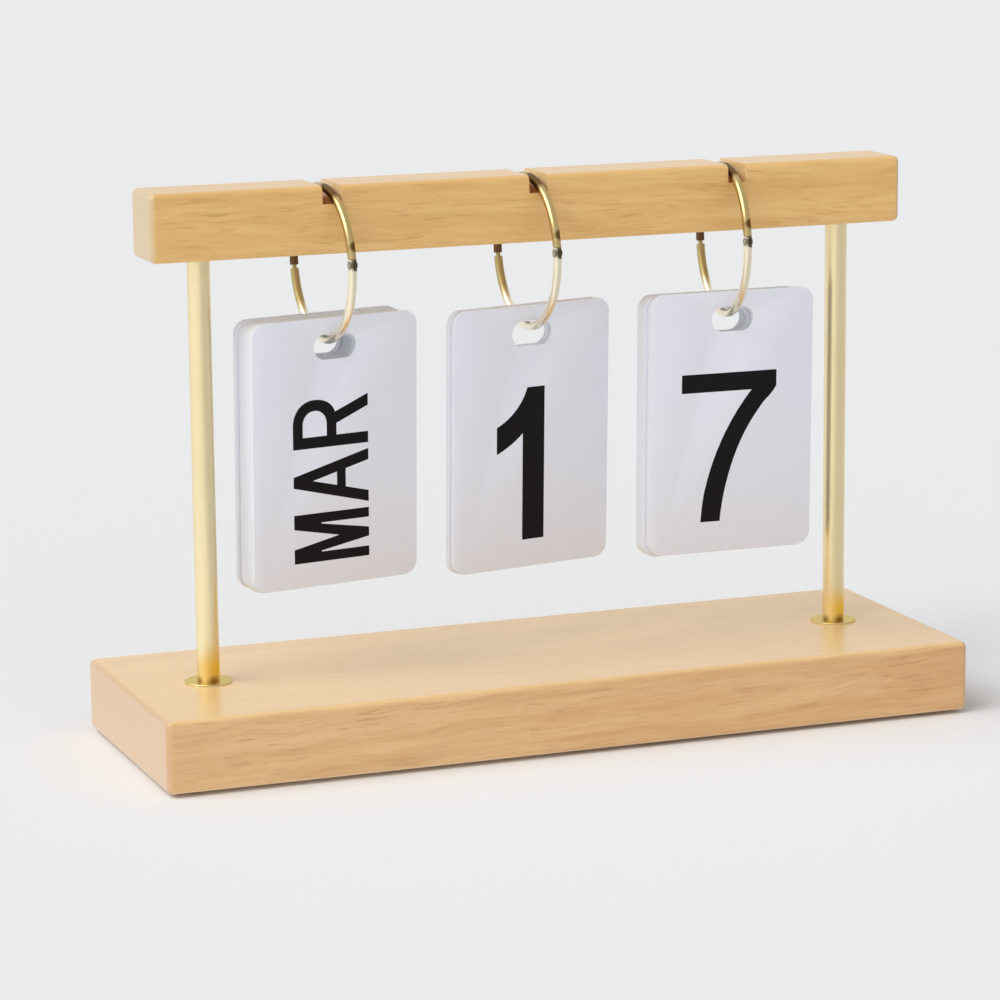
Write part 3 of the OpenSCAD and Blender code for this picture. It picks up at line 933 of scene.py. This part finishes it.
LETTERS = {
    "A": (15.3, "M0,0 L6.1,23.2 X9.2 L15.3,0 X12.1 L10.27,7.1 X5.03 L3.2,0 M5.72,9.8 X9.58"
                " L7.65,17.3"),
    "B": (13.6, "M0,0 Y23.2 X7 h12.9,17.8 c12.9,15,12,13.2,10.6,12.3 c12.6,11.2,13.6,9.4,13.6,6.6"
                " v7.2,0 M3.2,13.4 X6.8 h9.9,16.9 v6.8,20.3 X3.2 M3.2,2.9 X7 h10.5,6.8 v7,10.6"
                " X3.2"),
    "C": (13.4, "M13.3,15.4 Y16.7 v6.7,23.5 h0,16.7 Y6.5 v6.7,-.3 h13.3,6.5 Y7.8 X10.1 Y6.5"
                " v6.7,2.6 h3.2,6.5 Y16.7 v6.7,20.6 h10.1,16.7 Y15.4"),
    "D": (13.6, "M0,0 Y23.2 X6.4 h13.6,16 Y7.2 v6.4,0 M3.2,2.9 X6.4 h10.4,7.2 Y16 v6.4,20.3 X3.2"),
    "E": (11.7, "M0,0 Y23.2 X11.7 Y20.3 X3.2 Y13.2 X10.6 Y10.3 X3.2 Y2.9 X11.7 Y0"),
    "F": (11.4, "M0,0 Y23.2 X11.4 Y20.3 X3.2 Y12.9 X10.4 Y10 X3.2 Y0"),
    "G": (13.6, "M13.4,15.9 Y16.7 v6.8,23.5 h0,16.7 Y6.5 v6.8,-.3 h13.5,6.5 Y12.2 X7.2 Y9.4 X10.3"
                " Y6.5 v6.8,2.6 h3.2,6.5 Y16.7 v6.8,20.6 h10.2,16.7 Y15.9"),
    "J": (10.6, "M7.4,23.2 X10.6 Y6.2 v5.2,-.3 h0,6 Y7.6 X3.1 Y6.2 v5.2,2.6 h7.4,6.2"),
    "L": (11.2, "M0,0 Y23.2 X3.2 Y2.9 X11.2 Y0"),
    "M": (14.0, "M0,0 Y23.2 X4.1 L7,9.3 L9.9,23.2 X14 Y0 X11.2 Y14.8 X10.9 L8.3,0 X5.7 L3.1,14.8"
                " X2.8 Y0"),
    "N": (13.6, "M0,0 Y23.2 X3 L10.5,7.4 Y23.2 X13.6 Y0 X10.6 L3.1,15.8 Y0"),
    "O": (13.8, "M0,16.7 Y6.5 v6.9,-.3 h13.8,6.5 Y16.7 v6.9,23.5 h0,16.7 M3.2,16.7 Y6.5 v6.9,2.6"
                " h10.6,6.5 Y16.7 v6.9,20.6 h3.2,16.7"),
    "P": (13.5, "M0,0 Y23.2 X7 h13.5,16.4 v7,9.6 X3.2 Y0 M3.2,12.5 X6.8 h10.3,16.4 v6.8,20.3"
                " X3.2"),
    "R": (14.1, "M0,0 Y23.2 X6.6 h13.7,16.5 c13.7,13.4,12.4,11,9.8,10.2 L14.1,0 X10.7 L6.5,9.8"
                " X3.2 Y0 M3.2,12.8 X6.6 h10.6,16.5 v6.6,20.2 X3.2"),
    "S": (13.1, "M12.6,16.2 Y16.9 v6.6,23.5 h.3,17.4 c.3,12.4,4.2,11.5,6.9,10.4"
                " c9.2,9.4,9.9,8.2,9.9,6.4 v6.6,2.6 h3.1,6.4 Y7.6 X0 Y6.5 v6.6,-.3 h13.1,6.2"
                " c13.1,10.6,9.6,12,6.6,13.1 c4.2,14,3.5,15.3,3.5,17 v6.6,20.6 h9.5,17 Y16.2"),
    "T": (13.2, "M5,0 Y20.3 X0 Y23.2 X13.2 Y20.3 X8.2 Y0"),
    "U": (13.4, "M0,23.2 Y6.5 v6.7,-.3 h13.4,6.5 Y23.2 X10.2 Y6.5 v6.7,2.6 h3.2,6.5 Y23.2"),
    "V": (14.4, "M5.6,0 L0,23.2 X3.3 L7.2,5.2 L11.1,23.2 X14.4 L8.8,0"),
    "Y": (14.0, "M5.4,0 Y8.6 L0,23.2 X3.4 L7,12.4 L10.6,23.2 X14 L8.6,8.6 Y0"),
}


class Reading(Enum):
    """How a card's printing runs."""

    ACROSS = "across"
    UPWARDS = "upwards"


@dataclass
class Lettering:
    """Block capitals and figures drawn as closed outlines, flat and a hair thick."""

    layer: float = 0.02
    steps: int = 10
    roundness: float = 0.58
    same_spot: float = 1e-6
    weld: float = 1e-7
    letter_gap: float = 1.7
    digit_height: float = 44.5
    digit_foot: float = -63.65
    seven_lift: float = 0.85
    word_foot: float = 10.16
    word_middle: float = -41.2
    word_lean: float = 0.0074
    ink: PrintedInk = PrintedInk("black_ink", srgb(22, 18, 20))

    def contours(self, path: str) -> list[list[Point]]:
        """Turns an outline's path into closed lines of points.

        The letters of a path are M (start), L (line), X and Y (level and upright line), c (cubic
        curve) and the quarter ovals v (upright first, level at the end) and h (level first).

        Args:
            path: The outline.

        Returns:
            One list of points for each closed line.
        """
        lines: list[list[Point]] = []
        for word in path.split():
            kind, values = word[0], [float(v) for v in word[1:].split(",")]
            if kind == "M":
                lines.append([(values[0], values[1])])
                continue
            start = lines[-1][-1]
            if kind in "LXY":
                lines[-1].append((start[0] if kind == "Y" else values[0],
                                  start[1] if kind == "X" else values[-1]))
                continue
            end = (values[-2], values[-1])
            k = self.roundness
            if kind == "c":
                first, second = (values[0], values[1]), (values[2], values[3])
            elif kind == "v":
                first = (start[0], start[1] + k * (end[1] - start[1]))
                second = (end[0] - k * (end[0] - start[0]), end[1])
            else:
                first = (start[0] + k * (end[0] - start[0]), start[1])
                second = (end[0], end[1] - k * (end[1] - start[1]))
            for step in range(1, self.steps + 1):
                t = step / self.steps
                weights = ((1 - t) ** 3, 3 * t * (1 - t) ** 2, 3 * t * t * (1 - t), t ** 3)
                spots = (start, first, second, end)
                lines[-1].append(tuple(sum(w * spot[i] for w, spot in zip(weights, spots))
                                       for i in (0, 1)))
        return [line[:-1] if math.dist(line[0], line[-1]) < self.same_spot else line
                for line in lines]

    def figure(self, text: str) -> list[list[Point]]:
        """Lays a figure out on the card. A 9 is a 6 turned round.

        Args:
            text: The figure.

        Returns:
            Closed lines in card coordinates, as outline gives them.
        """
        foot = self.digit_foot + (self.seven_lift if text == "7" else 0.0)
        if text != "9":
            return [[(x, foot + y) for x, y in line] for line in self.contours(DIGITS[text])]
        top = foot + self.digit_height
        return [[(-x, top - y) for x, y in line] for line in self.contours(DIGITS["6"])]

    def outline(self, text: str, reading: Reading) -> list[list[Point]]:
        """Lays a word or a figure out on the card.

        Args:
            text: The word, in capitals, or the figure.
            reading: How it runs.

        Returns:
            Closed lines in card coordinates: right and up from the middle of the hole's upper
            edge, in millimetres.
        """
        if reading is Reading.ACROSS:
            return self.figure(text)
        width = sum(LETTERS[c][0] for c in text) + self.letter_gap * (len(text) - 1)
        along = self.word_middle - width / 2
        laid = []
        for letter in text:
            advance, path = LETTERS[letter]
            for line in self.contours(path):
                laid.append([(self.word_foot - y + self.word_lean * (self.word_middle - along - x),
                              along + x) for x, y in line])
            along += advance + self.letter_gap
        return laid

    def model(self, name: str, text: str, reading: Reading, place: Matrix,
              front: float) -> bpy.types.Object:
        """Models the printing of one card.

        Args:
            name: The new piece's name.
            text: The word or figure.
            reading: How it runs.
            place: From card coordinates in metres (right, back, up) to the frame.
            front: Where the card's front face lies along its back axis, in metres.

        Returns:
            The piece, with its place in its mesh.
        """
        deselect()
        data = bpy.data.curves.new(name, "CURVE")
        data.dimensions = "2D"
        data.fill_mode = "BOTH"
        data.extrude = self.layer / 2
        for line in self.outline(text, reading):
            spline = data.splines.new("POLY")
            spline.points.add(len(line) - 1)
            for point, (x, z) in zip(spline.points, line):
                point.co = (x, z, 0, 1)
            spline.use_cyclic_u = True
        activate(put(name, data))
        bpy.ops.object.convert(target="MESH")
        printing = bpy.context.object
        printing.name = printing.data.name = name
        # The curve's X and Y are the card's right and up, and its Z points out of the card
        lay = Matrix(((1, 0, 0, 0), (0, 0, -1, 0), (0, 1, 0, 0), (0, 0, 0, 1)))
        lay = Matrix.Translation((0, front - self.layer / 2 * MM, 0)) @ lay @ Matrix.Scale(MM, 4)
        printing.data.transform(place @ lay)
        close_up(printing, self.weld)
        return printing


@dataclass
class Cards:
    """The three packs of cards and their printing."""

    width: float = 50.8
    height: float = 76.2
    thickness: float = 0.7
    corner_r: float = 4.0
    corner_segments: int = 12
    hole_width: float = 13.0
    hole_height: float = 7.2
    hole_drop: float = 4.5
    hole_sides: int = 64
    edge_r: float = 0.09
    smooth_below: float = 35.0
    sharp_above: float = 60.0
    same_place: float = 1e-4
    face_on: float = 0.99
    frontward: float = 0.7
    sideward: float = 0.9
    square: float = 0.01
    lettering: Lettering = field(default_factory=Lettering)
    finish: SmoothCard = SmoothCard("smooth_card", srgb(239, 241, 251), srgb(243, 248, 255))
    words: dict[str, Reading] = field(default_factory=lambda: {
        "month": Reading.UPWARDS, "tens": Reading.ACROSS, "ones": Reading.ACROSS})

    def build(self) -> None:
        """Models one card, copies it to every card of the frame and prints each one."""
        pattern = self.pattern()
        card_stock = self.finish.material()
        ink = self.lettering.ink.material()
        for name, node in frame["nodes"].items():
            if "_card_" not in name:
                continue
            place = self.place_of(node)
            card = put(name + "_card", pattern.data.copy())
            card.data.name = card.name
            card.data.transform(place)
            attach(card, name)
            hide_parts(name)
            dress(card, card_stock)
            pack, _, text = name.partition("_card_")
            inked = self.lettering.model(name + "_print", text.upper(), self.words[pack], place,
                                         -self.thickness / 2 * MM)
            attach(inked, name)
            dress(inked, ink)
            LOG.info("%s: %d faces and %d of print", name, len(card.data.polygons),
                     len(inked.data.polygons))
        bpy.data.objects.remove(pattern, do_unlink=True)

    def pattern(self) -> bpy.types.Object:
        """Models one card in card coordinates, with its hole and its softly cut edges.

        Returns:
            The card, in metres.
        """
        deselect()
        bpy.ops.mesh.primitive_plane_add(size=1, rotation=(math.pi / 2, 0, 0))
        card = bpy.context.object
        card.scale = (self.width, self.height, 1)
        card.location = (0, self.thickness / 2, self.hole_drop - self.height / 2)
        settle(card)
        with editing(card):
            bpy.ops.mesh.bevel(offset=self.corner_r, segments=self.corner_segments,
                               affect="VERTICES")
            bpy.ops.mesh.select_all(action="SELECT")
            bpy.ops.mesh.extrude_region_move(
                TRANSFORM_OT_translate={"value": (0, -self.thickness, 0)})
            bpy.ops.mesh.select_all(action="SELECT")
            bpy.ops.mesh.normals_make_consistent(inside=False)
        cut_away(card, [self.hole_cutter()])
        with editing(card):
            bpy.ops.mesh.select_mode(type="EDGE")
            bpy.ops.mesh.select_all(action="DESELECT")
            bpy.ops.mesh.edges_select_sharp(sharpness=math.radians(self.sharp_above))
            bpy.ops.mesh.bevel(offset=self.edge_r, segments=2, profile=0.5, affect="EDGES")
        finish_mesh(card, self.smooth_below)
        self.mark_cut_edges(card.data)
        return card

    def hole_cutter(self) -> bpy.types.Object:
        """Models a slot with round ends that is longer than the card is thick.

        Returns:
            The slot's solid, in millimetres.
        """
        r = self.hole_height / 2
        deselect()
        bpy.ops.mesh.primitive_cylinder_add(
            vertices=self.hole_sides, radius=r, depth=4 * self.thickness, location=(0, 0, -r),
            rotation=(math.pi / 2, 0, 0))
        cutter = bpy.context.object
        settle(cutter)
        shift = self.hole_width / 2 - r
        for vertex in cutter.data.vertices:
            if abs(vertex.co.x) > self.same_place:
                vertex.co.x += math.copysign(shift, vertex.co.x)
        return cutter

    def mark_cut_edges(self, mesh: bpy.types.Mesh) -> None:
        """Marks the faces that aren't front or back in a face attribute for the finish.

        Args:
            mesh: The card's mesh.
        """
        cut = mesh.attributes.new("cut_edge", "FLOAT", "FACE")
        for polygon in mesh.polygons:
            cut.data[polygon.index].value = 0.0 if abs(polygon.normal.y) > self.face_on else 1.0

    def place_of(self, node: bpy.types.Object) -> Matrix:
        """Works out where a card of the frame is.

        Args:
            node: The frame's card.

        Returns:
            From card coordinates in metres (right, back, up from the middle of the hole's upper
            edge) to the frame.
        """
        mesh = node.data
        front = sum((p.normal * p.area for p in mesh.polygons if p.normal.y < -self.frontward),
                    Vector()).normalized()
        sides = [p for p in mesh.polygons
                 if abs(p.normal.dot(front)) < self.square and p.normal.x > self.sideward]
        side = max(sides, key=lambda p: p.area).normal.normalized()
        right = (side - side.dot(front) * front).normalized()
        up = front.cross(right)
        middle = Vector()
        for axis in (right, front, up):
            reach = [v.co.dot(axis) for v in mesh.vertices]
            middle += axis * (min(reach) + max(reach)) / 2
        origin = middle + up * (self.height / 2 - self.hole_drop) * MM
        return Matrix.Translation(origin) @ Matrix((right, -front, up)).transposed().to_4x4()


# ---- the studio ----


@dataclass
class Studio:
    """Pale floor, soft light and the camera."""

    key_strength: float = 1.63
    key_angle: float = 48.0
    key_from: Triple = (-0.65, -0.06, 0.75)
    sky: float = 0.335
    front_side: Triple = (-0.36, -0.93, 0.0)
    front_fill: float = 0.50
    left_side: Triple = (-1.0, 0.0, 0.0)
    left_fill: float = 0.16
    shine: float = 0.68
    bright_side: Triple = (-0.968, -0.238, 0.0)
    bright_shine: float = 0.37
    far_side: Triple = (0.36, 0.93, 0.0)
    far_shine: float = 0.18
    pale: Colour = srgb(235, 235, 236)
    floor_white: Colour = (0.952, 0.960, 0.968)
    floor_half: float = 12.0
    camera_at: Triple = (-389.09, -1000.53, 278.41)
    azimuth: float = -20.807
    elevation: float = 11.223
    roll: float = -0.554
    lens: float = 137.81
    sensor: float = 36.0
    clip_end: float = 50.0

    def build(self) -> None:
        """Makes the floor, the lights and the camera."""
        bpy.context.scene.view_settings.view_transform = "Standard"
        self.floor()
        self.key()
        self.world()
        self.camera()
        LOG.info("studio: ready")

    def around(self, tree: ShaderTree, where: Signal) -> Signal:
        """Works out the brightness that polished metal sees in a direction.

        Args:
            tree: The tree to work in.
            where: Direction or place, seen from the object.

        Returns:
            The brightness: high at the left, middling behind and lower at the right.
        """
        level = tree.add("ShaderNodeVectorMath", {"operation": "NORMALIZE"},
                         [where * (1.0, 1.0, 0.0)], "Vector")
        return (level.dot(self.bright_side).ramp(-0.1, 0.98) * self.bright_shine
                + level.dot(self.far_side).ramp(0.1, 0.95) * self.far_shine + self.shine)

    def floor(self) -> None:
        """Lays a wide pale floor that takes the object's shadow, and that glossy rays see glowing
        as a painted reflection.
        """
        deselect()
        bpy.ops.mesh.primitive_plane_add(size=2 * self.floor_half)
        floor = bpy.context.object
        floor.name = "studio_floor"
        material = bpy.data.materials.new("studio_floor")
        tree = ShaderTree(material)
        shine = self.around(tree, tree.add("ShaderNodeTexCoord", {}, {}, "Object"))
        lit = tree.add("ShaderNodeBsdfDiffuse", {}, {"Color": self.floor_white}, "BSDF")
        # Glossy rays see the floor glow with the brightness of around: a painted reflection
        seen = tree.add("ShaderNodeEmission", {}, {"Color": shine, "Strength": 1.0}, "Emission")
        glossy = tree.add("ShaderNodeLightPath", {}, {}, "Is Glossy Ray")
        tree.end(tree.add("ShaderNodeMixShader", {}, [glossy, lit, seen], "Shader"))
        dress(floor, material)

    def key(self) -> None:
        """Hangs one large soft light high on the left."""
        data = bpy.data.lights.new("key_light", "SUN")
        data.energy = self.key_strength
        data.angle = math.radians(self.key_angle)
        light = put("key_light", data)
        light.rotation_mode = "QUATERNION"
        light.rotation_quaternion = Vector(self.key_from).to_track_quat("Z", "Y")

    def world(self) -> None:
        """Fills the room with even light, and shows the pale backdrop to camera and metal."""
        world = bpy.data.worlds.new("studio_world")
        bpy.context.scene.world = world
        tree = ShaderTree(world)
        camera = tree.add("ShaderNodeLightPath", {}, {}, "Is Camera Ray")
        glossy = camera.other("Is Glossy Ray")
        where = tree.add("ShaderNodeTexCoord", {}, {}, "Generated")
        plain = (where.dot(self.front_side).above_zero() * self.front_fill
                 + where.dot(self.left_side).above_zero() * self.left_fill + self.sky)
        strength = camera + (1 - camera) * (glossy * self.around(tree, where)
                                            + (1 - glossy) * plain)
        backdrop = tree.mix(camera, (1.0, 1.0, 1.0), self.pale)
        tree.end(tree.add("ShaderNodeBackground", {}, {"Color": backdrop, "Strength": strength},
                          "Background"), "ShaderNodeOutputWorld")

    def camera(self) -> None:
        """Sets the camera up at the viewing angle."""
        az, el, roll = (math.radians(a) for a in (self.azimuth, self.elevation, self.roll))
        back = Vector((math.sin(az) * math.cos(el), -math.cos(az) * math.cos(el), math.sin(el)))
        right = (-back).cross(Vector((0, 0, 1))).normalized()
        up = right.cross(-back)
        turned_right = math.cos(roll) * right + math.sin(roll) * up
        turned_up = math.cos(roll) * up - math.sin(roll) * right
        data = bpy.data.cameras.new("camera")
        data.sensor_width = self.sensor
        data.lens = self.lens
        data.clip_end = self.clip_end
        camera = put("camera", data)
        turn = Matrix((turned_right, turned_up, back)).transposed().to_4x4()
        camera.matrix_world = Matrix.Translation(Vector(self.camera_at) * MM) @ turn
        bpy.context.scene.camera = camera


def main() -> None:
    """Builds each sub-assembly in turn and then the studio around it."""
    logging.basicConfig(level=logging.INFO, format="%(name)s %(message)s")
    for part in (Stand(), Rings(), Cards(), Studio()):
        part.build()
        LOG.info("%s: done", type(part).__name__)


if __name__ == "__main__":
    main()
